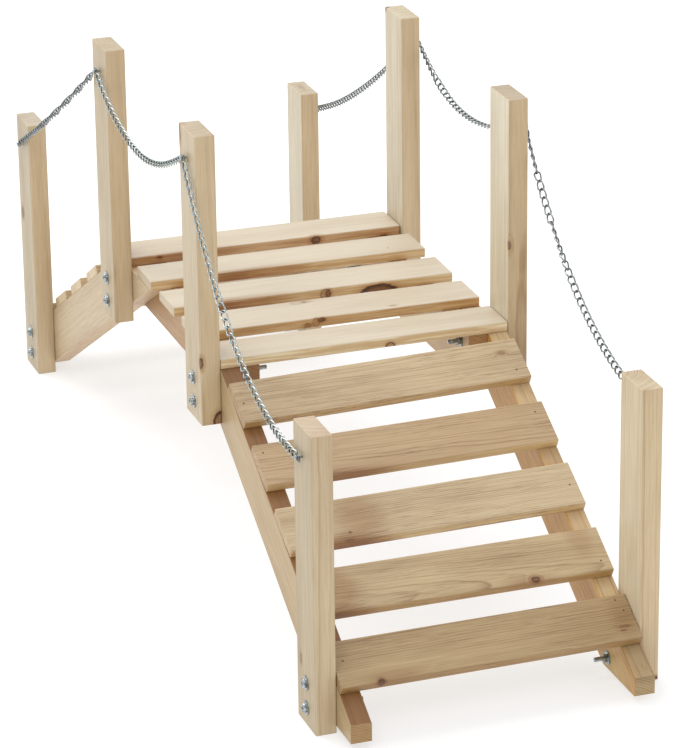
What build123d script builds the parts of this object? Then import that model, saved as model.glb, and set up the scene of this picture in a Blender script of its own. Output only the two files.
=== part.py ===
from build123d import *
from math import atan, cos, degrees, pi, radians, sin, tan
import os

os.makedirs("parts", exist_ok=True)

# A garden footbridge of planed softwood: a level deck, a ramp at each end, eight posts and hanging chains.
# X runs across the bridge, Y along it, Z up. The origin is on the ground at the middle of the bridge.
# "near" is the -Y end and "left" the -X side. All sizes are in millimetres.

# overall sizes
bridge_w = 600  # over the outer faces of the posts
deck_top = 432  # walking surface of the deck above the ground
deck_half = 312  # from the middle to the edge where a ramp starts
ramp_run = 661  # level length of one ramp, from that edge to its plumb cut
toe_top = 45  # top of the plumb cut at a ramp's foot
seat_gap = 12  # the ramp feet stay this far above the ground

# posts
post_t = 36  # across the bridge
post_w = 90  # along the bridge
post_len = 520
mid_post_inset = 43  # centre of a tall post, inwards from the deck's edge
mid_post_below = 8  # a tall post's foot hangs this far below the deck stringer
end_post_back = 113  # centre of an end post, back from the plumb cut

# stringers
stringer_t = 36
ramp_stringer_d = 95
deck_stringer_d = 90
deck_stringer_inset = 4  # its ends stand back from the deck's edge

# boards, which were sawn and set by eye: deck boards from the near end, ramp boards from the top
deck_board_w = (89, 94, 94, 92, 90)
ramp_board_w = (90, 90, 92, 93, 93)
board_t = 18
board_end_gap = 1  # between a board's end and the posts' inner faces
boards_per_run = 5
deck_overhang = 18  # the last deck board reaches this far past the far edge
ramp_first_gap = 38  # down the slope, from the deck's edge to the first ramp board
ramp_last_gap = 62  # down the slope, from the last ramp board to the plumb cut
deck_drift = (-1, -2, -4, 1, 0)  # each board's distance from even spacing
ramp_drift = (0, 1, -2, -4, -1)
deck_skew = (-0.3, -0.6, -0.6, -0.8, -0.8)  # degrees each board is turned, flat on its stringers
ramp_skew = (1.5, 0.8, 0.8, 0.1, 0.4)

# eased edges
board_round = 3
post_round = 2.5
stringer_round = 2
end_chamfer = 0.8
cut_margin = 1  # a hole's cutter starts and ends this far outside the wood

# machine bolts, two through each post
bolt_d = 8
bolt_hole_d = 9
bolt_spacing = 44  # one above the other, about the middle of the stringer
bolt_tail = 16  # thread left standing past the nut
head_d = 16
head_h = 5.5
head_round = 3.5
recess_w = 1.8
recess_span = 8.5
recess_depth = 3
washer_d = 24
washer_t = 2
nut_flats = 13
nut_h = 6.5
nut_bore_d = 8.3

# chain and the screws that carry it
chain_w = 12  # over a link
wire_d = 2.8
link_pitch = 16  # a link's inner length
chain_off = 8  # chain's middle plane from the post's face
screw_d = 3.8
screw_depth = 32
screw_hole_d = 4.1
pilot_extra = 0.5  # the pilot hole is this much deeper than the screw
screw_head_d = 8.5
screw_head_h = 3
chain_gap = 0.3
screw_drop = 48  # below a post's top

# derived places
outer_half = bridge_w / 2
inner_half = outer_half - post_t
board_len = 2 * (inner_half - board_end_gap)
deck_under = deck_top - board_t
deck_stringer_x = inner_half - stringer_t
toe_y = deck_half + ramp_run
mid_post_y = deck_half - mid_post_inset
end_post_y = toe_y - end_post_back
mid_post_foot = deck_under - deck_stringer_d - mid_post_below

# derived slope of a ramp and the spacing of the boards
slope = atan((deck_under - toe_top) / ramp_run)
upright = ramp_stringer_d / cos(slope)  # a ramp stringer's depth, measured plumb
deck_pitch = (2 * deck_half + deck_overhang - deck_board_w[-1]) / (boards_per_run - 1)
ramp_boards_reach = ramp_run / cos(slope) - ramp_first_gap - ramp_last_gap - ramp_board_w[-1]
ramp_pitch = ramp_boards_reach / (boards_per_run - 1)

# derived heights of the bolts and of the chain screws
mid_bolt_middle = deck_under - deck_stringer_d / 2
end_bolt_middle = deck_under - (end_post_y - deck_half) * tan(slope) - upright / 2
mid_bolts = (mid_bolt_middle - bolt_spacing / 2, mid_bolt_middle + bolt_spacing / 2)
end_bolts = (end_bolt_middle - bolt_spacing / 2, end_bolt_middle + bolt_spacing / 2)
mid_screw_z = mid_post_foot + post_len - screw_drop
end_screw_z = post_len - screw_drop
chain_x = outer_half + chain_off

nodes = {}


def mirrored(shape, left, far):
    """The near right piece carried over to its own corner of the bridge."""
    if left:
        shape = mirror(shape, about=Plane.YZ)
    if far:
        shape = mirror(shape, about=Plane.XZ)
    return shape


def corners():
    """The four corners of the bridge: its name, whether it is left and whether it is far."""
    for end in ("near", "far"):
        for side in ("left", "right"):
            yield f"{end}_{side}", side == "left", end == "far"


def bar(across, along, high, round_axis, rounding):
    """A planed bar about the origin, its long edges rounded and its ends barely chamfered."""
    solid = Box(across, along, high)
    solid = fillet(solid.edges().filter_by(round_axis), rounding)
    ends = solid.faces().filter_by(round_axis)
    return chamfer(ends.edges(), end_chamfer)


def hole_x(diameter, y, z, start, depth):
    """A cutter for a round hole along X, inwards from start."""
    return Pos(start - depth / 2, y, z) * Rot(0, 90, 0) * Cylinder(diameter / 2, depth)


def bolt_hole(y, z, face, thickness):
    """A cutter for a bolt hole right through a piece whose outer face is at x = face."""
    return hole_x(bolt_hole_d, y, z, face + cut_margin, thickness + 2 * cut_margin)


# posts
def post(centre_y, foot, heights, screw_z):
    """The near right post: two bolt holes right through it and a pilot for the chain screw."""
    middle = (inner_half + post_t / 2, -centre_y, foot + post_len / 2)
    solid = Pos(*middle) * bar(post_t, post_w, post_len, Axis.Z, post_round)
    for z in heights:
        solid -= bolt_hole(-centre_y, z, outer_half, post_t)
    return solid - hole_x(screw_hole_d, -centre_y, screw_z, outer_half, screw_depth + pilot_extra)


for name, left, far in corners():
    nodes[f"end_post_{name}"] = mirrored(post(end_post_y, 0, end_bolts, end_screw_z), left, far)
    nodes[f"mid_post_{name}"] = mirrored(
        post(mid_post_y, mid_post_foot, mid_bolts, mid_screw_z), left, far
    )


# stringers
def ramp_stringer():
    """The near right ramp stringer: level under the deck, sloping, then plumb and level at its foot."""
    fall = tan(slope)
    outline = [
        (-(deck_half - upright / fall), deck_under),
        (-deck_half, deck_under),
        (-toe_y, toe_top),
        (-toe_y, seat_gap),
        (-(deck_half + (deck_under - upright - seat_gap) / fall), seat_gap),
    ]
    profile = Plane.YZ * make_face(Polyline(*outline, close=True))
    solid = Pos(inner_half - stringer_t, 0, 0) * extrude(profile, stringer_t, dir=(1, 0, 0))
    long_edges = [e for e in solid.edges() if e.length > ramp_run / 2]
    solid = fillet(long_edges, stringer_round)
    for z in end_bolts:
        solid -= bolt_hole(-end_post_y, z, inner_half, stringer_t)
    for z in mid_bolts:
        solid -= bolt_hole(-mid_post_y, z, inner_half, stringer_t)
    return solid


def deck_stringer():
    """The right deck stringer, inside the ramp stringers."""
    length = 2 * (deck_half - deck_stringer_inset)
    middle = (deck_stringer_x - stringer_t / 2, 0, deck_under - deck_stringer_d / 2)
    solid = Pos(*middle) * bar(stringer_t, length, deck_stringer_d, Axis.Y, stringer_round)
    for y in (-mid_post_y, mid_post_y):
        for z in mid_bolts:
            solid -= bolt_hole(y, z, deck_stringer_x, stringer_t)
    return solid


for name, left, far in corners():
    nodes[f"ramp_stringer_{name}"] = mirrored(ramp_stringer(), left, far)
nodes["deck_stringer_left"] = mirrored(deck_stringer(), True, False)
nodes["deck_stringer_right"] = deck_stringer()


# boards
def board(width, skew):
    return Rot(0, 0, skew) * bar(board_len, width, board_t, Axis.X, board_round)


def ramp_board(number):
    """A near ramp board, lying on the slope: number 0 is the highest."""
    width = ramp_board_w[number]
    along = ramp_first_gap + number * ramp_pitch + ramp_drift[number] + width / 2
    above = board_t / 2
    y = -(deck_half + along * cos(slope) + above * sin(slope))
    z = deck_under - along * sin(slope) + above * cos(slope)
    return Pos(0, y, z) * Rot(degrees(slope), 0, 0) * board(width, ramp_skew[number])


for number in range(boards_per_run):
    width = deck_board_w[number]
    front = -deck_half + number * deck_pitch + deck_drift[number]
    level = Pos(0, front + width / 2, deck_top - board_t / 2) * board(width, deck_skew[number])
    nodes[f"deck_board_{number + 1}"] = level
    nodes[f"near_ramp_board_{number + 1}"] = ramp_board(number)
    nodes[f"far_ramp_board_{number + 1}"] = mirrored(ramp_board(number), False, True)


# bolts, washers and nuts
def bolt(grip):
    """A pan head bolt along +X: the head's underside is at x = 0 and the shank runs to -X."""
    head = Pos(head_h / 2, 0, 0) * Rot(0, 90, 0) * Cylinder(head_d / 2, head_h)
    crown = head.faces().sort_by(Axis.X)[-1]
    head = fillet(crown.edges(), head_round)
    middle = head_h - recess_depth / 2
    head -= Pos(middle, 0, 0) * Box(recess_depth, recess_w, recess_span)
    head -= Pos(middle, 0, 0) * Box(recess_depth, recess_span, recess_w)
    length = 2 * washer_t + grip + nut_h + bolt_tail
    shank = Pos(-length / 2, 0, 0) * Rot(0, 90, 0) * Cylinder(bolt_d / 2, length)
    tip = shank.faces().sort_by(Axis.X)[0]
    shank = chamfer(tip.edges(), end_chamfer)
    return head + shank


def washer():
    return Rot(0, 90, 0) * (Cylinder(washer_d / 2, washer_t) - Cylinder(bolt_hole_d / 2, washer_t))


def nut():
    outline = RegularPolygon(nut_flats / 2, 6, major_radius=False)
    body = extrude(outline, nut_h / 2, both=True) - Cylinder(nut_bore_d / 2, nut_h)
    return Rot(0, 90, 0) * body


def fastenings():
    """All bolts, washers and nuts of the right side, as three lists."""
    bolts = []
    washers = []
    nuts = []
    places = [(-end_post_y, end_bolts, 1), (-mid_post_y, mid_bolts, 2)]
    places += [(mid_post_y, mid_bolts, 2), (end_post_y, end_bolts, 1)]
    for y, heights, stringers in places:
        grip = post_t + stringers * stringer_t
        inner = outer_half - grip
        for z in heights:
            bolts.append(Pos(outer_half + washer_t, y, z) * bolt(grip))
            washers.append(Pos(outer_half + washer_t / 2, y, z) * washer())
            washers.append(Pos(inner - washer_t / 2, y, z) * washer())
            nuts.append(Pos(inner - washer_t - nut_h / 2, y, z) * nut())
    return bolts, washers, nuts


def both_sides(name, solids):
    nodes[f"{name}_right"] = Compound(children=solids)
    nodes[f"{name}_left"] = Compound(children=[mirrored(s, True, False) for s in solids])


bolts, washers, nuts = fastenings()
both_sides("bolts", bolts)
both_sides("washers", washers)
both_sides("nuts", nuts)


# chain screws, the links held by them and the hanging spans
link_turn = (chain_w - wire_d) / 2  # radius of a link's end, to the middle of the wire
link_straight = (link_pitch + wire_d) / 2 - link_turn  # half of a link's straight side


def chain_screw():
    """A pan head screw along +X: the post's face is at x = 0."""
    shank_len = screw_depth + chain_off + wire_d / 2 + chain_gap
    shank = Pos(shank_len / 2 - screw_depth, 0, 0) * Rot(0, 90, 0) * Cylinder(screw_d / 2, shank_len)
    seat = chain_off + wire_d / 2 + chain_gap
    head = Pos(seat + screw_head_h / 2, 0, 0) * Rot(0, 90, 0) * Cylinder(screw_head_d / 2, screw_head_h)
    crown = head.faces().sort_by(Axis.X)[-1]
    return fillet(crown.edges(), screw_head_h / 2) + shank


def link(tilt):
    """A chain link in the YZ plane about the origin, its long axis turned by tilt degrees from Y."""
    path = Plane.YZ * SlotCenterToCenter(2 * link_straight, 2 * link_turn)
    start = Plane(path.wire() @ 0, z_dir=path.wire() % 0)
    return Rot(tilt, 0, 0) * sweep(start * Circle(wire_d / 2), path=path.wire())


# Each span runs from one screw to the next through these points, as (y, z) in the chain's own plane.
left_spans = {
    "near": [
        (-803, 469),
        (-722, 478),
        (-637, 500),
        (-552, 536),
        (-476, 583),
        (-411, 634),
        (-354, 688),
        (-309, 738),
    ],
    "middle": [
        (-207, 760),
        (-135, 733),
        (-46, 714),
        (46, 714),
        (135, 730),
        (207, 755),
    ],
    "far": [
        (352, 740),
        (450, 685),
        (556, 627),
        (665, 569),
        (768, 517),
    ],
}
right_spans = {
    "near": [
        (-803, 461),
        (-722, 468),
        (-637, 491),
        (-552, 528),
        (-476, 576),
        (-411, 629),
        (-354, 685),
        (-309, 737),
    ],
    "middle": [
        (-207, 755),
        (-135, 728),
        (-46, 711),
        (46, 708),
        (135, 724),
        (207, 754),
    ],
    "far": [
        (345, 734),
        (438, 673),
        (543, 612),
        (655, 554),
        (762, 507),
    ],
}
link_tilts = {-end_post_y: 12, -mid_post_y: -14, mid_post_y: -5, end_post_y: -25}
screws = {
    -end_post_y: end_screw_z,
    -mid_post_y: mid_screw_z,
    mid_post_y: mid_screw_z,
    end_post_y: end_screw_z,
}


def start_point(screw_y, towards):
    """Where a span starts: clear of the held link, on the line from the screw to its first point."""
    run = Vector(towards[0] - screw_y, towards[1] - screws[screw_y])
    away = run.normalized()
    tilt = radians(link_tilts[screw_y])
    aligned = abs(away.X * cos(tilt) + away.Y * sin(tilt))
    reach = link_straight * aligned + chain_w / 2 + chain_gap
    return (screw_y + reach * away.X, screws[screw_y] + reach * away.Y)


def span(name, side, from_y, to_y, points):
    """A plain round tube over one hanging span, of straight runs joined by tangent arcs."""
    route = [start_point(from_y, points[0]), *points, start_point(to_y, points[-1])]
    stops = [Vector(side * chain_x, y, z) for y, z in route]
    radii = []
    for before, here, after in zip(stops, stops[1:], stops[2:]):
        run_in = here - before
        run_out = after - here
        turn = radians(run_in.get_angle(run_out))
        radii.append(0.45 * min(run_in.length, run_out.length) / tan(turn / 2))
    path = FilletPolyline(*stops, radius=radii)
    section = Plane(path @ 0, z_dir=path % 0) * Circle(chain_w / 2)
    tube = sweep(section, path=path)
    print(name, "length", round(path.length, 1), "radii", [round(r) for r in radii])
    print(name, "volume over section times length", tube.volume / (path.length * pi * chain_w**2 / 4))
    return tube


span_ends = {
    "near": (-end_post_y, -mid_post_y),
    "middle": (-mid_post_y, mid_post_y),
    "far": (mid_post_y, end_post_y),
}

for side_name, side, spans in (("left", -1, left_spans), ("right", 1, right_spans)):
    held_screws = []
    held_links = []
    for y, z in screws.items():
        screw = Pos(outer_half, y, z) * chain_screw()
        held_screws.append(mirrored(screw, side < 0, False))
        held_links.append(Pos(side * chain_x, y, z) * link(link_tilts[y]))
    nodes[f"chain_screws_{side_name}"] = Compound(children=held_screws)
    nodes[f"chain_held_links_{side_name}"] = Compound(children=held_links)
    for place, (from_y, to_y) in span_ends.items():
        name = f"chain_{side_name}_{place}"
        nodes[name] = span(name, side, from_y, to_y, spans[place])

for name, shape in nodes.items():
    export_step(shape, f"parts/{name}.step")
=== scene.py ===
import math
import bpy
import numpy as np
from mathutils import Matrix, Vector


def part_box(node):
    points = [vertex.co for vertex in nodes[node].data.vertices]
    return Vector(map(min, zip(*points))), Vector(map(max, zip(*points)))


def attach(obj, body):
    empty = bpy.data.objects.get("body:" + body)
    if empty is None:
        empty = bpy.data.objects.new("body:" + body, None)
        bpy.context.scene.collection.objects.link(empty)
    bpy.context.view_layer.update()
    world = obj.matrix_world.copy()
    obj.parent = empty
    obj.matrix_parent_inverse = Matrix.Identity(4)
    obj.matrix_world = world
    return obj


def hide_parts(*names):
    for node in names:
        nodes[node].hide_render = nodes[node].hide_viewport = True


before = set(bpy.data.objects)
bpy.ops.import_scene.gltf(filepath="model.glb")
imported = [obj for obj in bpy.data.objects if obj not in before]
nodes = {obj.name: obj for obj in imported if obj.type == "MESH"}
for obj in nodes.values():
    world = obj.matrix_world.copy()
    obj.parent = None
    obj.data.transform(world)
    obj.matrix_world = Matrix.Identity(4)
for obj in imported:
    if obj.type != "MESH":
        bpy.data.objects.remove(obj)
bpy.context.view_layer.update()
scene = bpy.context.scene
print("frame loaded:", len(nodes), "nodes")

# Camera: azimuth is measured from straight in front towards the left, elevation above level, both in
# degrees.
camera = {
    "place": (-2.07294, -6.22931, 2.81922),
    "azimuth": 18.8933,
    "elevation": 21.3343,
    "roll": -0.7748,
    "lens": 205.23,  # millimetres, as is the sensor
    "sensor": 36.0,
    "clip": (0.1, 200),
}


# The camera at its place: right is the level line across the view and up is right x forward, both then
# turned by the roll.
def makeCamera(look):
    azimuth, elevation, roll = (math.radians(look[key]) for key in ("azimuth", "elevation", "roll"))
    back = Vector((
        -math.sin(azimuth) * math.cos(elevation),
        -math.cos(azimuth) * math.cos(elevation),
        math.sin(elevation),
    ))
    right = (-back).cross(Vector((0, 0, 1))).normalized()
    up = right.cross(-back)
    rolledRight = right * math.cos(roll) + up * math.sin(roll)
    rolledUp = up * math.cos(roll) - right * math.sin(roll)
    data = bpy.data.cameras.new("camera")
    data.lens = look["lens"]
    data.sensor_width = look["sensor"]
    data.sensor_fit = "HORIZONTAL"
    data.clip_start, data.clip_end = look["clip"]
    made = bpy.data.objects.new("camera", data)
    scene.collection.objects.link(made)
    turn = Matrix((rolledRight, rolledUp, back)).transposed().to_4x4()
    made.matrix_world = Matrix.Translation(look["place"]) @ turn
    scene.camera = made


makeCamera(camera)
scene.view_settings.view_transform = "Standard"
print("camera set")


# One node with its settings and its inputs; an input that is a socket is linked, anything else is set.
def addNode(tree, kind, inputs=None, **settings):
    made = tree.nodes.new(kind)
    for key, value in settings.items():
        setattr(made, key, value)
    for key, value in (inputs or {}).items():
        if isinstance(value, bpy.types.NodeSocket):
            tree.links.new(value, made.inputs[key])
        else:
            made.inputs[key].default_value = value
    return made


# One calculation on one to three numbers.
def sums(tree, operation, *values):
    return addNode(tree, "ShaderNodeMath", dict(enumerate(values)), operation=operation).outputs[0]


# Smooth or straight step of a value from the first edge to the second, giving 0 to 1 or the given ends.
def stepped(tree, value, low, high, start=0.0, end=1.0, smooth=True):
    made = addNode(
        tree,
        "ShaderNodeMapRange",
        {"Value": value, "From Min": low, "From Max": high, "To Min": start, "To Max": end},
        interpolation_type="SMOOTHSTEP" if smooth else "LINEAR",
    )
    return made.outputs["Result"]


# Mix of two colours by a factor, as a plain mix or as a product. The node's colours are its inputs 6 and 7
# and its output 2.
def mixed(tree, factor, first, second, blend="MIX"):
    made = addNode(tree, "ShaderNodeMix", data_type="RGBA", blend_type=blend, clamp_factor=True)
    for place, value in ((0, factor), (6, first), (7, second)):
        if isinstance(value, bpy.types.NodeSocket):
            tree.links.new(value, made.inputs[place])
        elif place == 0:
            made.inputs[place].default_value = value
        else:
            made.inputs[place].default_value = (*value, 1)
    return made.outputs[2]


# Noise with so many waves per metre along the grain and so many across it, moved by its own offset.
def grainNoise(tree, vector, scale, offset, detail=2.0, rough=0.5):
    along, across = scale
    stretched = addNode(
        tree,
        "ShaderNodeMapping",
        {"Vector": vector, "Scale": (along, across, across), "Location": offset},
        vector_type="POINT",
    )
    return addNode(
        tree,
        "ShaderNodeTexNoise",
        {"Vector": stretched.outputs[0], "Scale": 1.0, "Detail": detail, "Roughness": rough},
    )


# A colour multiplied by a tone, as far as the share goes.
def tinted(tree, share, colour, tone):
    return mixed(tree, share, colour, mixed(tree, 1.0, colour, tone, "MULTIPLY"))


# A new material with its node tree and its one shader, which is joined to the output.
def newMaterial(name):
    made = bpy.data.materials.new(name)
    made.use_nodes = True
    tree = made.node_tree
    tree.nodes.clear()
    shader = tree.nodes.new("ShaderNodeBsdfPrincipled")
    output = tree.nodes.new("ShaderNodeOutputMaterial")
    tree.links.new(shader.outputs[0], output.inputs[0])
    return made, tree, shader


# Wood: growth rings are cylinders about a pith line that runs along the piece, bent by slow noise, so
# faces show straight grain and cut ends show arcs. A knot is a stretched ball that pushes the rings aside
# and darkens. Lengths are in metres.
wood = {
    "pale": (0.62, 0.455, 0.27),
    "late": (0.34, 0.195, 0.085),
    "tone": (1.0, 1.0, 1.0),  # the whole piece is multiplied by this,
    # the end, edge and face tones below hold painted light and shade for how light falls on each side; the
    # end tone also holds the darker end grain
    "endToneAndShade": (0.97, 0.93, 0.88),  # its cut ends,
    "edgeToneAndShade": (1.0, 1.0, 1.0),  # its narrow edges
    "faceToneAndShade": (1.0, 1.0, 1.0),  # and its wide faces by these
    "stainTone": (0.70, 0.56, 0.43),
    "rough": 0.42,
    "ring": 0.0034,  # width of one growth ring
    "pith": (0.10, -0.09),  # pith line across and below the piece's middle
    "taper": 0.010,
    "bend": 0.004,  # slow bends of the grain
    "wave": 0.0016,  # short waves of the grain
    "ringContrast": 0.45,
    "fibreContrast": 0.28,
    "cloudContrast": 0.32,
    "streakContrast": 0.45,
    "endContrast": 1.0,  # how much stronger the rings are on a cut end
    "edgeContrast": 0.0,  # how much stronger bands are on a narrow edge
    "dashed": (0.60, 0.72),  # noise values where short dark fibres start and reach full strength
    "dashScale": (55, 620),  # of the short dark fibres, along the grain and across it
    "knots": (),
    "arcs": (),  # knots that show as a dark outline around brown wood
    "stainsAndShade": (),
}
# Noises within the wood: waves per metre along and across the grain, which of the piece's offsets is used
# and how far it is moved on, and the noise's values between which the pattern sets in.
patterns = {
    "bend": {"scale": (2.2, 7.0), "draw": 0, "detail": 1.0},
    "wave": {"scale": (11, 26), "draw": 1, "moved": 3},
    "wobble": {"scale": (130, 230), "draw": 1, "detail": 3.0, "rough": 0.6},
    "fibre": {"scale": (13, 480), "draw": 2, "detail": 3.0, "rough": 0.6, "edges": (0.3, 0.75)},
    "dash": {"draw": 3, "rough": 0.6},  # its scale is each wood's own
    "patch": {"scale": (6, 30), "draw": 5, "detail": 1.0, "edges": (0.36, 0.58)},
    "cloud": {"scale": (2.6, 16), "draw": 4, "detail": 3.0, "edges": (0.35, 0.75)},
    "band": {"scale": (9, 240), "draw": 4, "moved": 5, "detail": 3.0, "rough": 0.6, "edges": (0.35, 0.65)},
}
offsetCount = 6
offsetReach = 20  # a piece's offsets are drawn up to this far either way
turnedEdges = (0.6, 0.9)  # how far a surface faces an axis where that side's tone, partly painted light and shade, starts and is full
# Distances from the middle of a knot, an arc or a stain are counted in its own reaches; a pair is where a
# part of it begins and where it is at full strength.
knotLook = {
    "heart": (0.19, 0.082, 0.030),
    "ringed": (0.09, 0.036, 0.013),
    "rim": (0.065, 0.027, 0.011),
    "halo": (0.74, 0.54, 0.37),  # the wood about a knot is multiplied by this
    "inside": (0.50, 0.39, 0.31),  # and the wood within an arc by this
    "push": 0.010,  # rings move out this far at a knot of the full reach
    "fullReach": 6.0,  # millimetres across the grain
    "leastPush": 0.2,  # as part of the push, added for thin knots
    "pushFall": 0.35,
    "ragged": 0.8,
    "heartEdges": (1.15, 0.8),
    "haloEdges": (2.3, 0.9),
    "rimAt": 0.9,
    "rimEdges": (0.24, 0.0),  # distances from the rim's own middle
    "ringedEdges": (0.62, 0.42),
}
arcLook = {
    "ragged": 0.4,
    "insideEdges": (1.0, 0.85),
    "aroundEdges": (1.7, 0.9),
    "around": 0.6,  # how strong the halo is
    "streaked": (0.7, 0.3),  # fibre noise where the brown inside is weakest and strongest
    "weakest": 0.5,
    "rimAt": 0.88,
    "rimEdges": (0.20, 0.03),
}
stainAndShadeLook = {"ragged": 1.6, "edges": (1.2, 0.3)}
ringLook = {
    "power": 4.0,  # a higher power darkens a ring later
    "endEdges": (1.0, 0.88),  # parts of a ring between which it ends
    "apart": 0.61,  # how far apart two rings' own strengths are drawn
    "ownEdges": (0.35, 0.68),  # noise values of the weakest and the strongest ring
    "ownStrength": (0.1, 2.2),
}
relief = {
    "strength": 0.25,
    "depth": 0.0003,
    "late": 0.4,  # how much late wood stands out beside the fibres
    "roughened": (0.3, 0.7),  # fibre noise where the roughness is least and most
    "smoother": 0.05,  # least roughness is this much under the wood's own
    "rougher": 0.08,  # and the most this much over it
}


# One of the wood's noises at the piece's own offset.
def patternNoise(tree, here, kind, offsets, scale=None):
    pattern = patterns[kind]
    offset = offsets[pattern["draw"]] + pattern.get("moved", 0)
    detail, rough = pattern.get("detail", 2.0), pattern.get("rough", 0.5)
    return grainNoise(tree, here, scale or pattern["scale"], offset, detail, rough)


# A pattern's strength, 0 to 1, from its noise.
def patternShare(tree, kind, noise):
    return stepped(tree, noise, *patterns[kind]["edges"])


# Distance of a point from a spot in the spot's own reaches: the length of (point - middle) / reach.
def farFrom(tree, here, spot):
    away = addNode(
        tree,
        "ShaderNodeMapping",
        {"Vector": here, "Location": [p / 1000 for p in spot[:3]], "Scale": [p / 1000 for p in spot[3:6]]},
        vector_type="TEXTURE",
    ).outputs[0]
    return addNode(tree, "ShaderNodeVectorMath", {0: away}, operation="LENGTH").outputs["Value"]


# A distance made uneven: distance + ragged x (noise - a half).
def ragged(tree, far, noise, amount):
    return sums(tree, "MULTIPLY_ADD", sums(tree, "SUBTRACT", noise, 0.5), amount, far)


# Distance from the pith line after the grain is bent by two noises, plus taper x length along the piece.
def pithDistance(tree, here, look, offsets):
    bent = here
    for kind in ("bend", "wave"):
        noise = patternNoise(tree, here, kind, offsets).outputs["Color"]
        bent = addNode(
            tree,
            "ShaderNodeVectorMath",
            {0: noise, 1: (0, look[kind], look[kind]), 2: bent},
            operation="MULTIPLY_ADD",
        ).outputs[0]
    offset = (look["bend"] + look["wave"]) / 2
    across, below = look["pith"]
    middle = addNode(
        tree,
        "ShaderNodeMapping",
        {"Vector": bent, "Location": (0, -across - offset, -below - offset), "Scale": (0, 1, 1)},
        vector_type="POINT",
    ).outputs[0]
    radius = addNode(tree, "ShaderNodeVectorMath", {0: middle}, operation="LENGTH").outputs["Value"]
    along = addNode(tree, "ShaderNodeSeparateXYZ", {0: here}).outputs[0]
    return sums(tree, "MULTIPLY_ADD", along, look["taper"], radius)


# The strengths of the knots' hearts, rims and halos, and the radius with the rings pushed out at each knot
# by push x e to the power of (-fall x distance squared).
def addKnots(tree, here, knots, wobble, radius):
    masks = {}
    for *spot, dark in knots:
        far = farFrom(tree, here, spot)
        fall = sums(tree, "MULTIPLY", sums(tree, "MULTIPLY", far, far), -knotLook["pushFall"])
        push = knotLook["push"] * min(1, spot[4] / knotLook["fullReach"] + knotLook["leastPush"])
        radius = sums(tree, "MULTIPLY_ADD", sums(tree, "EXPONENT", fall), push, radius)
        far = ragged(tree, far, wobble, knotLook["ragged"])
        rim = sums(tree, "ABSOLUTE", sums(tree, "SUBTRACT", far, knotLook["rimAt"]))
        parts = (("heart", far, dark), ("rim", rim, dark * dark), ("halo", far, dark))
        for part, distance, strength in parts:
            mask = sums(tree, "MULTIPLY", stepped(tree, distance, *knotLook[f"{part}Edges"]), strength)
            masks[part] = sums(tree, "MAXIMUM", masks[part], mask) if part in masks else mask
    return masks, radius


# Late wood: in each ring it rises with a power of the part done and ends sharply; each ring has its own
# strength, from a noise of the ring's number.
def lateWood(tree, radius, ring):
    phase = sums(tree, "DIVIDE", radius, ring)
    part = sums(tree, "FRACT", phase)
    rise = sums(tree, "POWER", part, ringLook["power"])
    late = sums(tree, "MULTIPLY", rise, stepped(tree, part, *ringLook["endEdges"]))
    number = sums(tree, "MULTIPLY", phase, ringLook["apart"])
    inputs = {"W": number, "Scale": 1.0, "Detail": 1.0}
    own = addNode(tree, "ShaderNodeTexNoise", inputs, noise_dimensions="1D").outputs[0]
    own = stepped(tree, own, *ringLook["ownEdges"], *ringLook["ownStrength"], smooth=False)
    return sums(tree, "MULTIPLY", late, own)


# Stains and painted shade: the colour multiplied by the entry's own tone or the wood's stain tone, with an
# edge that clouds and fibres make uneven.
def addStainsAndShade(tree, here, colour, look, cloud, fibre):
    for spot in look["stainsAndShade"]:
        strength, *own = spot[6:]
        far = ragged(tree, farFrom(tree, here, spot), cloud, stainAndShadeLook["ragged"])
        far = ragged(tree, far, fibre, stainAndShadeLook["ragged"])
        mask = sums(tree, "MULTIPLY", stepped(tree, far, *stainAndShadeLook["edges"]), strength)
        colour = tinted(tree, mask, colour, own[0] if own else look["stainTone"])
    return colour


# Arcs: brown wood where the distance is under one, streaked by fibres, with a dark rim and a halo.
def addArcs(tree, here, colour, arcs, wobble, fibre):
    for *spot, strength in arcs:
        far = ragged(tree, farFrom(tree, here, spot), wobble, arcLook["ragged"])
        rim = sums(tree, "ABSOLUTE", sums(tree, "SUBTRACT", far, arcLook["rimAt"]))
        streaks = stepped(tree, fibre, *arcLook["streaked"], arcLook["weakest"], strength)
        inside = sums(tree, "MULTIPLY", stepped(tree, far, *arcLook["insideEdges"]), streaks)
        inside = sums(tree, "MULTIPLY", inside, strength)
        around = stepped(tree, far, *arcLook["aroundEdges"])
        around = sums(tree, "MULTIPLY", around, strength * arcLook["around"])
        rim = sums(tree, "MULTIPLY", stepped(tree, rim, *arcLook["rimEdges"]), strength)
        colour = tinted(tree, around, colour, knotLook["halo"])
        colour = tinted(tree, inside, colour, knotLook["inside"])
        colour = mixed(tree, rim, colour, knotLook["rim"])
    return colour
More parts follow.
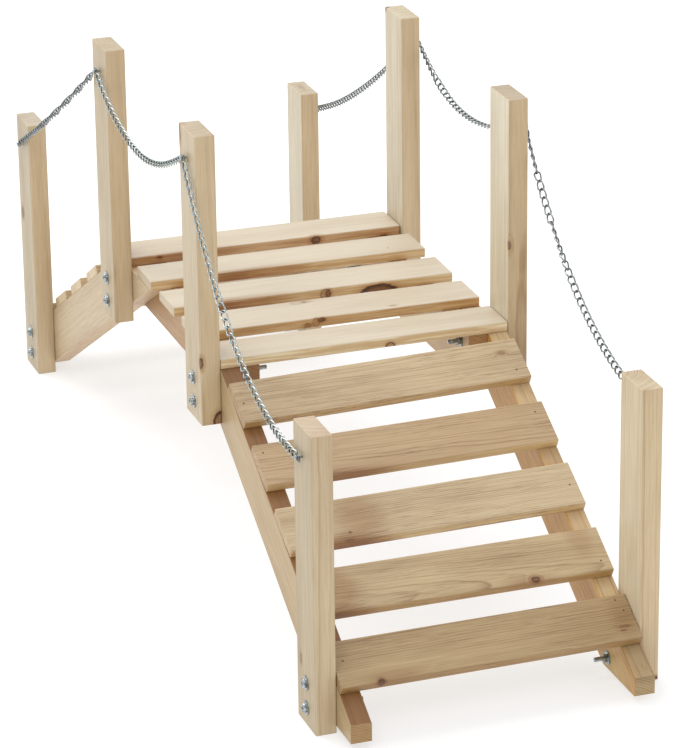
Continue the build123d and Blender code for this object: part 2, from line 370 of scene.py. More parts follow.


# Wood of one piece: colour = pale towards late by the sum of (pattern x contrast) over rings, fibres,
# clouds, dashes and bands, then multiplied by the tones, whose side tones paint light and shade on ends,
# edges and faces, with stains, painted shade, arcs and knots over it. The ring is the fraction of
# (distance from the pith + taper x length along) / ring width.
def woodMaterial(name, centre, axes, look, seed):
    made, tree, shader = newMaterial(name)
    draw = np.random.default_rng(seed)
    offsets = draw.uniform(-offsetReach, offsetReach, (offsetCount, 3))
    turn = Matrix(axes).transposed().to_euler("XYZ")
    place = addNode(tree, "ShaderNodeTexCoord")
    here = addNode(
        tree,
        "ShaderNodeMapping",
        {"Vector": place.outputs["Object"], "Location": centre, "Rotation": turn},
        vector_type="TEXTURE",
    ).outputs[0]
    wobble, fibre, patch, cloud = (
        patternNoise(tree, here, kind, offsets).outputs[0] for kind in ("wobble", "fibre", "patch", "cloud")
    )
    radius = pithDistance(tree, here, look, offsets)
    knots, radius = addKnots(tree, here, look["knots"], wobble, radius)
    late = lateWood(tree, radius, look["ring"])
    dashes = patternNoise(tree, here, "dash", offsets, look["dashScale"]).outputs[0]
    dashes = stepped(tree, dashes, *look["dashed"])
    dashes = sums(tree, "MULTIPLY", dashes, patternShare(tree, "patch", patch))

    # how far the surface faces along the piece, across it and up: ends, edges and wide faces, which get
    # their own tones of painted light and shade
    facing = []
    for axis in axes:
        inputs = {0: place.outputs["Normal"], 1: axis}
        dot = addNode(tree, "ShaderNodeVectorMath", inputs, operation="DOT_PRODUCT").outputs["Value"]
        facing.append(stepped(tree, sums(tree, "ABSOLUTE", dot), *turnedEdges))
    end, edge, face = facing

    contrast = look["ringContrast"]
    contrast = sums(tree, "MULTIPLY_ADD", end, look["endContrast"] * contrast, contrast)
    dark = sums(tree, "MULTIPLY", late, contrast)
    for kind, noise in (("fibre", fibre), ("cloud", cloud)):
        share = patternShare(tree, kind, noise)
        dark = sums(tree, "MULTIPLY_ADD", share, look[f"{kind}Contrast"], dark)
    dark = sums(tree, "MULTIPLY_ADD", dashes, look["streakContrast"], dark)
    if look["edgeContrast"]:
        bands = patternShare(tree, "band", patternNoise(tree, here, "band", offsets).outputs[0])
        dark = sums(tree, "MULTIPLY_ADD", sums(tree, "MULTIPLY", bands, edge), look["edgeContrast"], dark)
    colour = mixed(tree, dark, look["pale"], look["late"])

    for share, key in ((1.0, "tone"), (end, "endToneAndShade"), (edge, "edgeToneAndShade"), (face, "faceToneAndShade")):
        if look[key] != (1.0, 1.0, 1.0):
            colour = tinted(tree, share, colour, look[key])
    colour = addStainsAndShade(tree, here, colour, look, cloud, fibre)
    colour = addArcs(tree, here, colour, look["arcs"], wobble, fibre)
    if knots:
        ringed = stepped(tree, wobble, *knotLook["ringedEdges"])
        heart = mixed(tree, ringed, knotLook["heart"], knotLook["ringed"])
        colour = tinted(tree, knots["halo"], colour, knotLook["halo"])
        colour = mixed(tree, knots["heart"], colour, heart)
        colour = mixed(tree, knots["rim"], colour, knotLook["rim"])
    tree.links.new(colour, shader.inputs["Base Color"])

    least, most = look["rough"] - relief["smoother"], look["rough"] + relief["rougher"]
    rough = stepped(tree, fibre, *relief["roughened"], least, most, smooth=False)
    tree.links.new(rough, shader.inputs["Roughness"])
    height = sums(tree, "SUBTRACT", sums(tree, "MULTIPLY_ADD", late, relief["late"], fibre), dashes)
    inputs = {"Strength": relief["strength"], "Distance": relief["depth"], "Height": height}
    tree.links.new(addNode(tree, "ShaderNodeBump", inputs).outputs[0], shader.inputs["Normal"])
    return made


# Gives a CAD node a material through its own slots.
def dress(name, material):
    slots = nodes[name].material_slots
    if not len(slots):
        nodes[name].data.materials.append(material)
    for slot in nodes[name].material_slots:
        slot.material = material


# The middle of a CAD node's box.
def middleOf(name):
    low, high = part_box(name)
    return tuple((low + high) / 2)


# Dresses a wooden node: the values of all wood, then those of its kind, then its own.
def dressWood(name, kind, looks, axes, seed):
    look = {**wood, **looks[kind], **looks.get(name, {})}
    dress(name, woodMaterial(f"wood_{name}", middleOf(name), axes, look, seed))


# Axes of the pieces, each set as u along the grain, v and w; a ramp's fall and level run are in metres.
rampFall, rampRun = 0.369, 0.661
slope = math.atan(rampFall / rampRun)
fore, rise = math.cos(slope), math.sin(slope)
levelAxes = ((1, 0, 0), (0, 1, 0), (0, 0, 1))
nearAxes = ((1, 0, 0), (0, fore, rise), (0, -rise, fore))
farAxes = ((1, 0, 0), (0, fore, -rise), (0, rise, fore))
postAxes = ((0, 0, 1), (0, 1, 0), (-1, 0, 0))
deckBeamAxes = ((0, 1, 0), (-1, 0, 0), (0, 0, 1))
nearBeamAxes = ((0, fore, rise), (-1, 0, 0), (0, -rise, fore))
farBeamAxes = ((0, fore, -rise), (-1, 0, 0), (0, rise, fore))

# Boards. Each entry may change any value of the wood. Knots are (u, v, w, reach u, v, w, darkness) in
# millimetres from the board's middle, u along it, v up the slope or towards the far end, w up. Arcs and
# stains end in a strength instead, and a stain may add a tone of its own.
# The edge, end and face tones of single boards are painted light and shade on those sides: browner and
# darker on near edges that face down or into the gaps between boards, lighter where light falls on an edge
# or end.
boardLook = {
    "deck": {
        "pale": (0.545, 0.478, 0.366),
        "late": (0.39, 0.285, 0.175),
        "ringContrast": 0.24,
        "streakContrast": 0.18,
        "edgeContrast": 1.0,
    },
    "near_ramp": {
        "pale": (0.60, 0.425, 0.24),
        "late": (0.25, 0.135, 0.052),
        "edgeToneAndShade": (0.95, 0.80, 0.58),
        "wave": 0.004,
        "streakContrast": 0.75,
        "dashScale": (18, 1150),
        "dashed": (0.57, 0.66),
    },
    "far_ramp": {
        "pale": (0.60, 0.425, 0.24),
        "late": (0.25, 0.135, 0.052),
        "tone": (0.88, 0.93, 0.97),
        "edgeToneAndShade": (1.13, 1.15, 1.18),
        "endToneAndShade": (1.26, 1.38, 1.5),
    },
    "deck_board_1": {"edgeToneAndShade": (1.50, 1.47, 1.28), "arcs": ((45, -47, -8, 10, 7, 9, 0.85),)},
    "deck_board_2": {
        "edgeToneAndShade": (1.22, 0.99, 0.69),
        "knots": (
            (-60, -47, -4, 7, 6, 5, 0.5),
            (-34, -47, 4, 7, 5, 4, 0.85),
            (103, -36, 9, 7, 3, 2, 0.4),
            (-33, 38, 9, 9, 5, 3, 0.25),
        ),
        "arcs": ((-44, -47, 1, 7, 8, 9, 0.4), (-50, 37, 9, 14, 7, 4, 0.36), (-38, 37, 9, 4, 5, 3, 0.4)),
    },
    "deck_board_3": {
        "edgeToneAndShade": (1.30, 1.14, 0.86),
        "stainsAndShade": ((-130, -47, 0, 110, 20, 30, 1.0), (-190, -47, 0, 60, 20, 30, 0.8)),
        "knots": ((25, -47, -1, 5, 6, 7, 0.7),),
        "arcs": (
            (20, -47, -1, 10, 6, 10, 0.6),
            (121, -47, -12, 37, 9, 17.5, 1.0),
            (121, -47, -12, 31, 9, 14, 0.6),
        ),
    },
    "deck_board_4": {
        "edgeToneAndShade": (1.34, 1.16, 0.87),
        "stainsAndShade": ((-60, -47, 0, 130, 20, 30, 1.0), (-130, -47, 0, 100, 20, 30, 1.0)),
    },
    "deck_board_5": {
        "edgeToneAndShade": (1.03, 0.77, 0.54),
        "stainsAndShade": ((-150, -45, 0, 110, 20, 30, 0.8),),
        "knots": ((97, -45, 0, 9, 6, 8, 0.95), (-206, -45, 4, 5, 4, 4, 0.75), (231, -45, -7, 9, 4, 4, 0.9)),
    },
    "near_ramp_board_1": {
        "pith": (0.06, -0.05),
        "tone": (0.94, 1.015, 1.10),
        "edgeToneAndShade": (0.935, 0.80, 0.575),
        "knots": ((228, 22, 9, 7, 4, 4, 0.45),),
    },
    "near_ramp_board_2": {
        "pith": (-0.05, -0.06),
        "tone": (0.84, 0.84, 0.845),
        "edgeToneAndShade": (1.25, 1.26, 1.07),
        "stainsAndShade": ((-120, -45, 0, 120, 16, 20, 1.0), (-110, -47, 0, 90, 14, 20, 0.9)),
    },
    "near_ramp_board_3": {
        "pith": (0.10, -0.05),
        "tone": (0.98, 1.09, 1.21),
        "knots": ((-154, -29, 9, 2.5, 2, 3, 0.75), (-160, -44, 6, 8, 2, 6, 0.6)),
        "edgeToneAndShade": (1.17, 1.10, 0.93),
        "stainsAndShade": (
            (-130, 5, 9, 62, 70, 30, 0.75),
            (-160, -46, 4, 80, 22, 20, 1.0),
            (-180, -46, 0, 90, 14, 20, 1.0),
        ),
    },
    "near_ramp_board_4": {
        "pith": (-0.035, -0.045),
        "taper": 0.03,
        "tone": (0.90, 0.96, 0.99),
        "edgeToneAndShade": (1.0, 0.85, 0.61),
        "knots": ((124, -41, 9, 7, 5, 6, 0.95),),
        "stainsAndShade": (
            (-225, -5, 9, 50, 80, 30, 0.8),
            (-210, -46, 0, 60, 12, 20, 1.0),
            (225, 20, 9, 25, 40, 20, 0.45),
            (110, -45, 9, 60, 16, 20, 0.6),
        ),
    },
    "near_ramp_board_5": {
        "pith": (0.08, -0.07),
        "tone": (0.78, 0.79, 0.745),
        "edgeToneAndShade": (0.86, 0.74, 0.565),
        "knots": (
            (-194, -46, 5, 6, 5, 6, 0.95),
            (240, -17, 9, 11, 2, 3, 0.5),
            (235, -25, 9, 6, 1.5, 3, 0.5),
        ),
        "stainsAndShade": ((240, 0, 9, 30, 55, 20, 0.5), (-170, -40, 9, 60, 14, 20, 0.5)),
    },
}
runAxes = {"deck": levelAxes, "near_ramp": nearAxes, "far_ramp": farAxes}
boardsPerRun = 5
# Each piece draws its grain with a number of its own, counted up from here.
firstSeed = {"boards": 101, "posts": 201, "beams": 209}
for place, (run, axes) in enumerate(runAxes.items()):
    for number in range(boardsPerRun):
        seed = firstSeed["boards"] + 10 * place + number
        dressWood(f"{run}_board_{number + 1}", run, boardLook, axes, seed)
print("boards dressed")

# Posts and stringers, in the same way; u runs up a post, v towards the far end, w towards the left. On a
# stringer u runs along it towards the far end, v towards the left and w up.
# The face tones of the posts are painted light and shade on the faces that look left and right, darker on
# the left posts and lighter on the right posts; the edge and end tones also change the near faces and the
# tops.
postLook = {
    "shared": {
        "pale": (0.645, 0.51, 0.32),
        "late": (0.354, 0.218, 0.10),
        "pith": (0.10, 0.02),
        "ring": 0.0048,
        "ringContrast": 0.38,
        "streakContrast": 0.10,
        "taper": 0.004,
        "endToneAndShade": (0.81, 0.805, 0.776),
    },
    "end_post_near_left": {
        "pith": (0.09, -0.04),
        "faceToneAndShade": (0.73, 0.75, 0.76),
        "edgeToneAndShade": (0.94, 0.96, 1.0),
        "endToneAndShade": (0.79, 0.78, 0.83),
        "knots": ((-151, 25, 18, 9, 5, 5, 0.5),),
    },
    "mid_post_near_left": {
        "faceToneAndShade": (0.83, 0.875, 0.92),
        "edgeToneAndShade": (0.95, 0.95, 0.95),
        "endToneAndShade": (0.67, 0.69, 0.72),
        "knots": ((-145, -45, 18, 10, 7, 5, 0.9), (242, 45, 18, 20, 10, 7, 0.85)),
        "arcs": ((-258, -45, -19, 22, 8, 17, 1.0),),
    },
    "mid_post_far_left": {
        "faceToneAndShade": (0.78, 0.83, 0.86),
        "edgeToneAndShade": (0.94, 0.94, 0.94),
        "endToneAndShade": (0.66, 0.69, 0.69),
        "tone": (0.95, 0.92, 0.90),
    },
    "end_post_far_left": {
        "faceToneAndShade": (0.76, 0.81, 0.84),
        "endToneAndShade": (0.70, 0.77, 0.88),
        "tone": (0.95, 0.95, 0.97),
        "knots": ((61, 24, 18, 11, 7, 6, 0.8),),
    },
    "end_post_near_right": {
        "pith": (0.07, 0.06),
        "faceToneAndShade": (1.12, 1.25, 1.44),
        "endToneAndShade": (0.87, 0.91, 0.97),
        "knots": ((-259, -45, -14, 6, 6, 9, 0.95),),
    },
    "mid_post_near_right": {
        "pith": (0.075, -0.01),
        "faceToneAndShade": (1.09, 1.27, 1.55),
        "edgeToneAndShade": (0.88, 0.85, 0.80),
        "endToneAndShade": (0.66, 0.67, 0.74),
        "knots": ((-3, -45, 18, 9, 3, 5, 0.65),),
    },
    "mid_post_far_right": {
        "faceToneAndShade": (0.98, 1.12, 1.33),
        "endToneAndShade": (0.85, 0.97, 1.09),
        "knots": ((258, 43, 16, 5, 6, 6, 0.8),),
    },
    "end_post_far_right": {
        "faceToneAndShade": (0.97, 1.13, 1.38),
        "endToneAndShade": (0.74, 0.80, 0.91),
        "knots": ((260, 5, 0, 4, 14, 5, 0.25),),
    },
}
beamLook = {
    "shared": {"pith": (0.05, -0.08), "ring": 0.0040, "streakContrast": 0.2},
    # The stringers' tones paint light and shade: the near left stringer's top and end darker in the shade
    # between and under the boards, the deck stringers' ends darker as end grain and as painted shade under
    # the deck boards, and the left one's sides darker in the same shade.
    "ramp_stringer_near_left": {
        "edgeToneAndShade": (0.80, 0.81, 0.75),
        "faceToneAndShade": (0.43, 0.28, 0.155),
        "endToneAndShade": (0.63, 0.52, 0.36),
        "endContrast": 0.2,
    },
    "ramp_stringer_far_left": {"edgeToneAndShade": (0.86, 0.93, 1.0)},
    "ramp_stringer_far_right": {"edgeToneAndShade": (0.86, 0.93, 1.0)},
    "deck_stringer_left": {"edgeToneAndShade": (0.73, 0.59, 0.43), "endToneAndShade": (0.62, 0.46, 0.34)},
    "deck_stringer_right": {"endToneAndShade": (0.80, 0.66, 0.50)},
    "ramp_stringer_near_right": {
        "edgeToneAndShade": (0.95, 0.92, 0.85),
        "faceToneAndShade": (1.04, 1.05, 0.99),
        "endToneAndShade": (0.74, 0.74, 0.64),
        "streakContrast": 0.8,
        "ringContrast": 0.6,
        "endContrast": 0.0,
        "edgeContrast": 0.3,
        # The first entry is painted shade along the inner side, which lies in the shade under the boards,
        # and the third lightens it again at the foot; the second, fourth and fifth make the top darker and
        # lighter along its length.
        "stainsAndShade": (
            (0, 18, 0, 3000, 3, 3000, 1.0, (1.105, 0.92, 0.54)),
            (-415, -3, 62, 75, 60, 18, 1.0, (0.65, 0.62, 0.57)),
            (-395, 18, 5, 100, 4, 52, 1.0, (1.21, 1.57, 2.0)),
            (-273, -3, 62, 45, 60, 18, 1.0, (1.11, 1.15, 1.18)),
            (8, -3, 62, 45, 60, 18, 1.0, (0.84, 0.78, 0.74)),
        ),
    },
}
corners = ("near_left", "near_right", "far_left", "far_right")
posts = [f"{kind}_{corner}" for kind in ("end_post", "mid_post") for corner in corners]
for seed, name in enumerate(posts, firstSeed["posts"]):
    dressWood(name, "shared", postLook, postAxes, seed)
beams = {"deck_stringer_left": deckBeamAxes, "deck_stringer_right": deckBeamAxes}
for side in ("left", "right"):
    beams[f"ramp_stringer_near_{side}"] = nearBeamAxes
    beams[f"ramp_stringer_far_{side}"] = farBeamAxes
for seed, (name, axes) in enumerate(beams.items(), firstSeed["beams"]):
    dressWood(name, "shared", beamLook, axes, seed)
print("posts and stringers dressed")

# Zinc plating: bright metal, a little blue, with cloudy patches. Scales are in waves per metre.
zinc = {
    "bright": (0.47, 0.52, 0.54),
    "dull": (0.15, 0.17, 0.18),
    "rough": 0.24,
    "patch": 240.0,
    "dulled": (0.38, 0.68),  # noise values where the dull patches start and reach full strength
    "roughened": (0.3, 0.7),  # and where the roughness does
    "smoother": 0.06,  # least roughness is this much under the metal's own
    "rougher": 0.14,  # and the most this much over it
    "pitting": 1400.0,
    "pitStrength": 0.15,
    "pitDepth": 0.0001,
    "patchOffset": (3.0, 1.0, 7.0),
    "pitOffset": (0.0, 5.0, 2.0),
}
chainFinishAndShade = {
    "bright": (0.43, 0.465, 0.465),
    "dull": (0.24, 0.265, 0.265),
    "shadeAndGrime": (0.060, 0.068, 0.068),  # painted shade with some grime, in the bends and on the inner side of a link
    "rough": 0.26,
}
# A lighter copy of the same chain's metal for the two near left spans: painted light.
leftLitCopy = {"bright": (0.60, 0.66, 0.64), "dull": (0.36, 0.40, 0.39), "shadeAndGrime": (0.08, 0.09, 0.09)}
heldFinish = {"bright": (0.22, 0.25, 0.26), "dull": (0.05, 0.058, 0.060)}


# Metal: colour = bright towards dull by a cloudy noise, then towards a dark colour by the attribute of
# painted shade, with some grime, on the links' inner sides and bends; the roughness rises with the same
# noise, and fine pitting is a bump.
def zincMaterial(name, look, shadeAttribute=None):
    made, tree, shader = newMaterial(name)
    place = addNode(tree, "ShaderNodeTexCoord").outputs["Object"]
    cloud = grainNoise(tree, place, (look["patch"],) * 2, look["patchOffset"], detail=3.0, rough=0.6)
    cloud = cloud.outputs[0]
    fine = grainNoise(tree, place, (look["pitting"],) * 2, look["pitOffset"]).outputs[0]
    colour = mixed(tree, stepped(tree, cloud, *look["dulled"]), look["bright"], look["dull"])
    if shadeAttribute:
        hollow = addNode(tree, "ShaderNodeAttribute", attribute_name=shadeAttribute).outputs["Fac"]
        colour = mixed(tree, hollow, colour, look["shadeAndGrime"])
    tree.links.new(colour, shader.inputs["Base Color"])
    shader.inputs["Metallic"].default_value = 1.0
    least, most = look["rough"] - look["smoother"], look["rough"] + look["rougher"]
    rough = stepped(tree, cloud, *look["roughened"], least, most, smooth=False)
    tree.links.new(rough, shader.inputs["Roughness"])
    inputs = {"Strength": look["pitStrength"], "Distance": look["pitDepth"], "Height": fine}
    tree.links.new(addNode(tree, "ShaderNodeBump", inputs).outputs[0], shader.inputs["Normal"])
    return made


hardwareZinc = zincMaterial("zinc_hardware", zinc)
heldZinc = zincMaterial("zinc_held_links", {**zinc, **heldFinish})
chainZinc = {
    "left": zincMaterial("zinc_chain_left_lit_copy", {**zinc, **chainFinishAndShade, **leftLitCopy}, "hollow"),
    "right": zincMaterial("zinc_chain_right", {**zinc, **chainFinishAndShade}, "hollow"),
}
for side in ("left", "right"):
    for kind in ("bolts", "washers", "nuts", "chain_screws"):
        dress(f"{kind}_{side}", hardwareZinc)
    dress(f"chain_held_links_{side}", heldZinc)
print("hardware dressed")


# A mesh from points and faces, smooth, with one material and any values for its points.
def meshPiece(name, points, faces, material, **attributes):
    mesh = bpy.data.meshes.new(name)
    mesh.from_pydata(points.tolist(), [], faces)
    for key, values in attributes.items():
        mesh.attributes.new(key, "FLOAT", "POINT").data.foreach_set("value", values.ravel())
    mesh.polygons.foreach_set("use_smooth", np.ones(len(mesh.polygons), bool))
    mesh.materials.append(material)
    mesh.validate()
    mesh.update()
    made = bpy.data.objects.new(name, mesh)
    scene.collection.objects.link(made)
    return made


# Grids of points (item, step along, step round, axis) joined into quads; both ways round are closed.
def closedGrid(name, points, material, **attributes):
    items, steps, around = points.shape[:3]
    index = np.arange(items * steps * around).reshape(items, steps, around)
    nextStep = np.roll(index, -1, axis=1)
    quads = np.stack([index, nextStep, np.roll(nextStep, -1, axis=2), np.roll(index, -1, axis=2)], axis=-1)
    return meshPiece(name, points.reshape(-1, 3), quads.reshape(-1, 4).tolist(), material, **attributes)


# Nail heads, with their places as (board, u, v) in millimetres from the board's middle, on its upper face.
nails = {
    "radius": 0.0018,
    "height": 0.0003,
    "sunk": 0.0006,
    "around": 14,
    "rings": (0.0, 0.45, 0.8, 1.0, 1.0, 0.0),  # parts of the radius, from the top's middle to the underside
    "domed": 4,  # as many of them lie on the dome, the rest on the underside
    "board": 0.018,  # a board's thickness
    "steel": (0.10, 0.062, 0.040),
    "lighter": 1.8,  # its bright spots are this many times lighter
    "spots": 900.0,  # of them to a metre
    "spotEdges": (0.4, 0.65),  # noise values where they start and are brightest
    "spotOffset": (1.0, 2.0, 3.0),
    "metal": 0.6,
    "rough": 0.5,
    "places": (
        ("near_ramp_board_1", -252, -10), ("near_ramp_board_1", 242, -19),
        ("near_ramp_board_2", -250, 22), ("near_ramp_board_2", 243, 26),
        ("near_ramp_board_3", -246, -26), ("near_ramp_board_3", 249, 1),
        ("near_ramp_board_4", -247, 18), ("near_ramp_board_4", 247, -24),
        ("near_ramp_board_5", -245, 4), ("near_ramp_board_5", 242, 37), ("near_ramp_board_5", 249, 14),
        ("far_ramp_board_1", -247, 12), ("far_ramp_board_1", 245, -16),
        ("far_ramp_board_2", -244, -20), ("far_ramp_board_2", 248, 9),
        ("far_ramp_board_3", -249, 5), ("far_ramp_board_3", 244, 21),
        ("far_ramp_board_4", -246, -12), ("far_ramp_board_4", 249, -4),
        ("far_ramp_board_5", -243, 16), ("far_ramp_board_5", 246, -22),
        ("deck_board_4", 199, -23),
    ),
}


# A head is a shallow dome, its height falling with the square of the radius, closed below by a flat disc.
def nailHeads(look):
    part = np.array(look["rings"])
    height = look["height"] * (1 - part ** 2)
    height[look["domed"]:] = -look["sunk"]
    ring = np.linspace(0, 2 * math.pi, look["around"], endpoint=False)
    flat = look["radius"] * part[:, None, None] * np.stack([np.cos(ring), np.sin(ring)], axis=-1)
    rows = []
    for name, u, v in look["places"]:
        axes = np.array(runAxes[name.rsplit("_board", 1)[0]])
        middle = np.array(middleOf(name)) + np.array([u / 1000, v / 1000, look["board"] / 2]) @ axes
        rows.append(middle + flat @ axes[:2] + height[:, None, None] * axes[2])
    return np.array(rows)


# Dark steel with lighter spots where a fine noise is high.
def steelMaterial(name, look):
    made, tree, shader = newMaterial(name)
    place = addNode(tree, "ShaderNodeTexCoord").outputs["Object"]
    spots = grainNoise(tree, place, (look["spots"],) * 2, look["spotOffset"]).outputs[0]
    lighter = tuple(look["lighter"] * part for part in look["steel"])
    colour = mixed(tree, stepped(tree, spots, *look["spotEdges"]), look["steel"], lighter)
    tree.links.new(colour, shader.inputs["Base Color"])
    shader.inputs["Metallic"].default_value = look["metal"]
    shader.inputs["Roughness"].default_value = look["rough"]
    return made


# Rows of rings (item, step, step round, axis) whose first and last rings are single points, so both ends
# close.
def domes(name, rows, material):
    items, steps, around = rows.shape[:3]
    tips = rows[:, [0, -1], 0]
    body = rows[:, 1:-1]
    index = np.arange(items * (steps - 2) * around).reshape(items, steps - 2, around)
    first = items * (steps - 2) * around + 2 * np.arange(items)
    nextRound = np.roll(index, -1, axis=2)
    quads = np.stack([index[:, :-1], index[:, 1:], nextRound[:, 1:], nextRound[:, :-1]], axis=-1)
    start = np.broadcast_to(first[:, None], (items, around))
    caps = np.stack([start, index[:, 0], nextRound[:, 0]], axis=-1).reshape(-1, 3)
    ends = np.stack([start + 1, nextRound[:, -1], index[:, -1]], axis=-1).reshape(-1, 3)
    points = np.concatenate([body.reshape(-1, 3), tips.reshape(-1, 3)])
    faces = quads.reshape(-1, 4).tolist() + caps.tolist() + ends.tolist()
    return meshPiece(name, points, faces, material)


heads = domes("nail_heads", nailHeads(nails), steelMaterial("nail_steel", nails))
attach(heads, "root")
print("nails set")

# Chains of twisted links, six spans in two upright planes.
chain = {
    "planeX": 0.308,
    "wire": 0.0031,
    "farWire": {"right_far": 0.0024, "left_far": 0.0027},  # the farthest spans look finer
    "width": 0.014,  # across a link
    "tube": 0.012,  # the plain cord that the links stand for
    "pitch": 0.016,
    "twist": -66.0,  # one link's ends are turned this far against each other
    "steps": 7,  # points on a half of a link
    "around": 6,
    "ahead": 0.004,  # a link points along the route between points this far before and after its middle
    "splineSteps": 24,
    "shadeMiddle": 0.2,  # painted shade, with some grime, half way round the wire,
    "shadeRound": 0.6,  # how much it grows towards the link's inner side
    "shadeBends": 0.4,  # and towards its two ends
}
# Each span's route as (y, z) points in metres, from one screw to the next.
spanRoutes = {
    "left_near": [
        (-0.8491, 0.4714), (-0.803, 0.469), (-0.722, 0.478), (-0.637, 0.5), (-0.552, 0.536),
        (-0.476, 0.583), (-0.411, 0.634), (-0.354, 0.688), (-0.309, 0.738), (-0.2742, 0.7815),
    ],
    "left_middle": [
        (-0.259, 0.7835), (-0.207, 0.76), (-0.135, 0.733), (-0.046, 0.714),
        (0.046, 0.714), (0.135, 0.73), (0.207, 0.755), (0.2599, 0.7831),
    ],
    "left_far": [
        (0.2782, 0.7827), (0.352, 0.74), (0.45, 0.685), (0.556, 0.627),
        (0.665, 0.569), (0.768, 0.517), (0.85, 0.4769),
    ],
    "right_near": [
        (-0.8495, 0.47), (-0.803, 0.461), (-0.722, 0.468), (-0.637, 0.491), (-0.552, 0.528),
        (-0.476, 0.576), (-0.411, 0.629), (-0.354, 0.685), (-0.309, 0.737), (-0.2741, 0.7815),
    ],
    "right_middle": [
        (-0.2593, 0.7829), (-0.207, 0.755), (-0.135, 0.728), (-0.046, 0.711),
        (0.046, 0.708), (0.135, 0.724), (0.207, 0.754), (0.26, 0.7831),
    ],
    "right_far": [
        (0.2775, 0.782), (0.345, 0.734), (0.438, 0.673), (0.543, 0.612),
        (0.655, 0.554), (0.762, 0.507), (0.8496, 0.4757),
    ],
}
# How a span's links lie: (part of the way along, degrees); at 0 a link's width is level across the bridge.
spanTurns = {
    "left_near": [(0.0, 112), (0.5, 110), (0.56, 140), (0.62, 140), (0.66, 112), (1.0, 110)],
    "left_middle": [(0.0, 112), (0.2, 117), (0.38, 120), (0.6, 115), (1.0, 112)],
    "left_far": [
        (0.0, 140), (0.06, 70), (0.12, 130), (0.2, 62), (0.27, 128), (0.35, 60), (0.43, 125), (0.5, 60),
        (0.58, 120), (0.66, 65), (0.74, 105), (1.0, 90),
    ],
    "right_near": [
        (0.0, 130), (0.45, 135), (0.55, 165), (0.6, 205), (0.66, 235), (0.72, 242), (0.73, 310), (0.84, 315),
        (0.86, 420), (0.94, 425), (1.0, 370),
    ],
    "right_middle": [
        (0.0, 176), (0.6, 176), (0.7, 174), (0.73, 142), (0.78, 140), (0.8, 105), (0.88, 88), (1.0, 80),
    ],
    "right_far": [(0.0, 112), (0.35, 98), (0.5, 90), (1.0, 78)],
}


# The smooth spline through a span's control points, as a dense row of points.
def splinePoints(name, route):
    curve = bpy.data.curves.new(name, "CURVE")
    curve.dimensions = "3D"
    spline = curve.splines.new("NURBS")
    spline.points.add(len(route) - 1)
    spline.points.foreach_set("co", np.c_[np.array(route), np.ones(len(route))].ravel())
    spline.order_u = 3
    spline.use_endpoint_u = True
    spline.resolution_u = chain["splineSteps"]
    holder = bpy.data.objects.new(name, curve)
    scene.collection.objects.link(holder)
    mesh = bpy.data.meshes.new_from_object(holder)
    points = np.zeros(len(mesh.vertices) * 3)
    mesh.vertices.foreach_get("co", points)
    bpy.data.objects.remove(holder)
    bpy.data.meshes.remove(mesh)
    return points.reshape(-1, 3)


# Vectors divided by their own lengths.
def unit(vectors):
    return vectors / np.linalg.norm(vectors, axis=-1, keepdims=True)


# Points of the path at given distances along it.
def pointsAt(path, travelled, stops):
    return np.stack([np.interp(stops, travelled, path[:, axis]) for axis in range(3)], axis=-1)


# Links at even steps along the points. A link is a slot of wire; its half width at u along its length
# turns by twist x u / length about the chain's line, so its two ends lie crosswise and each link holds the
# next. The painted shade, with some grime, grows with minus the cosine round the wire, towards the link's
# inner side, and with the square of the part done round a bend.
def twistedLinks(path, turns, look):
    travelled = np.r_[0, np.cumsum(np.linalg.norm(np.diff(path, axis=0), axis=1))]
    total = travelled[-1]
    amount = round(total / look["pitch"])
    stops = (np.arange(amount) + 0.5) * total / amount
    centre = pointsAt(path, travelled, stops)
    before, after = (pointsAt(path, travelled, stops + step) for step in (-look["ahead"], look["ahead"]))
    forward = unit(after - before)
    across = np.broadcast_to([1.0, 0.0, 0.0], forward.shape)
    above = np.cross(forward, across)
    turn = np.radians(np.interp(stops / total, *zip(*turns)))[:, None]
    side = np.cos(turn) * across + np.sin(turn) * above
    face = np.cross(forward, side)

    bend = (look["width"] - look["wire"]) / 2
    straight = (look["pitch"] + look["wire"]) / 2 - bend
    angles = np.radians(np.linspace(-90, 90, look["steps"] - 1))
    halfU = np.r_[straight + bend * np.cos(angles), 0.0]
    halfV = np.r_[bend * np.sin(angles), bend]
    u = np.r_[halfU, -halfU][None, :, None]
    v = np.r_[halfV, -halfV][None, :, None]
    angle = math.radians(look["twist"]) * u / (2 * (straight + bend))
    turned = np.cos(angle) * side[:, None] + np.sin(angle) * face[:, None]
    line = centre[:, None] + u * forward[:, None] + v * turned
    flow = unit(np.roll(line, -1, axis=1) - np.roll(line, 1, axis=1))
    level = np.cos(angle) * face[:, None] - np.sin(angle) * side[:, None]
    outward = unit(np.cross(flow, level))
    level = np.cross(outward, flow)
    ring = np.linspace(0, 2 * math.pi, look["around"], endpoint=False)[None, None, :, None]
    points = line[:, :, None] + look["wire"] / 2 * (
        np.cos(ring) * outward[:, :, None] + np.sin(ring) * level[:, :, None]
    )
    # painted shade with some grime: darker on the inner side of the wire and round the bends where links
    # touch
    inner = np.clip(look["shadeMiddle"] - look["shadeRound"] * np.cos(ring), 0, 1)
    bends = np.clip((np.abs(u) - straight) / bend, 0, 1)[:, :, None] ** 2
    hollow = np.clip(inner + look["shadeBends"] * bends, 0, 1)
    return points, np.broadcast_to(hollow[..., 0], points.shape[:3]), total


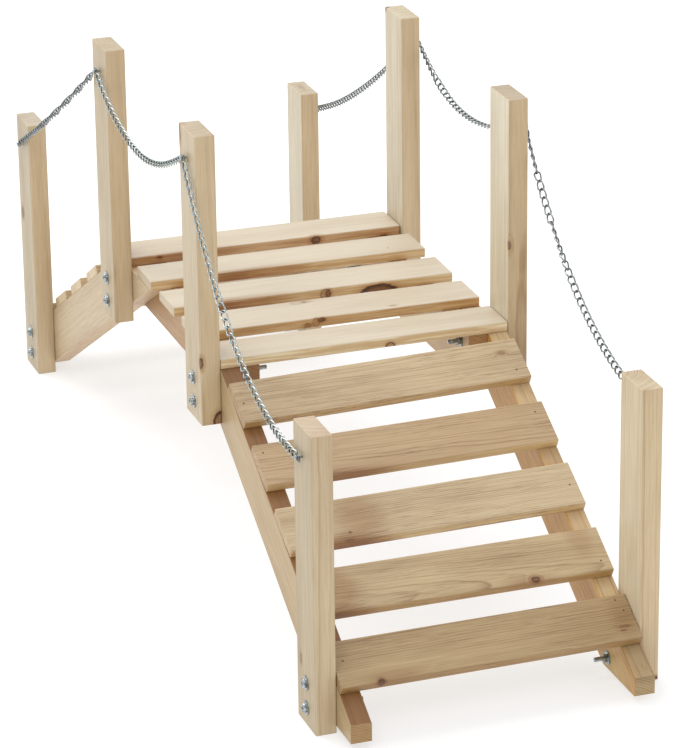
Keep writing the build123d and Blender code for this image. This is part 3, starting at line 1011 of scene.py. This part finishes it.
for name, route in spanRoutes.items():
    side = -1 if name.startswith("left") else 1
    path = splinePoints(f"route_{name}", [(side * chain["planeX"], y, z) for y, z in route])
    look = {**chain, "wire": chain["farWire"].get(name, chain["wire"])}
    points, hollow, length = twistedLinks(path, spanTurns[name], look)
    # the two near left spans take the lighter copy of the metal, which is painted light
    linkMaterial = chainZinc["left" if name in ("left_near", "left_middle") else "right"]
    piece = closedGrid(f"links_{name}", points, linkMaterial, hollow=np.ascontiguousarray(hollow))
    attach(piece, "root")
    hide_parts(f"chain_{name}")
    print(f"chain {name}: {length * 1000:.1f} mm, {len(points)} links")

# Plain pale floor.
floor = {"half": 40.0, "colour": (0.38, 0.38, 0.38), "rough": 0.9, "glow": 0.64}
floorMaterial, _, floorShader = newMaterial("floor")
floorShader.inputs["Base Color"].default_value = (*floor["colour"], 1)
floorShader.inputs["Roughness"].default_value = floor["rough"]
floorShader.inputs["Emission Color"].default_value = (1, 1, 1, 1)
floorShader.inputs["Emission Strength"].default_value = floor["glow"]
half = floor["half"]
square = np.array([(-half, -half, 0), (half, -half, 0), (half, half, 0), (-half, half, 0)])
meshPiece("floor", square, [(0, 1, 2, 3)], floorMaterial)

# Soft studio light: an even surround and large panels, each aimed at the middle of the deck.
lights = {
    "surround": (0.86, 0.86, 0.86),
    "aim": (0, 0, 0.4),
    "panels": {
        "top": {"place": (-1.5, 4.5, 6.5), "size": 8.0, "watts": 580.0, "tint": (1.0, 1.0, 1.0)},
        "spark": {"place": (-2.6, -3.0, 4.4), "size": 1.0, "watts": 26.0, "tint": (1.0, 1.0, 1.0)},
    },
}
world = bpy.data.worlds.new("surround")
scene.world = world
world.use_nodes = True
world.node_tree.nodes["Background"].inputs["Color"].default_value = (*lights["surround"], 1)
world.node_tree.nodes["Background"].inputs["Strength"].default_value = 1.0
for name, look in lights["panels"].items():
    data = bpy.data.lights.new(f"panel_{name}", "AREA")
    data.size = look["size"]
    data.energy = look["watts"]
    data.color = look["tint"]
    lamp = bpy.data.objects.new(f"panel_{name}", data)
    scene.collection.objects.link(lamp)
    aim = Vector(lights["aim"]) - Vector(look["place"])
    lamp.matrix_world = Matrix.Translation(look["place"]) @ aim.to_track_quat("-Z", "Y").to_matrix().to_4x4()
print("floor and lights set")
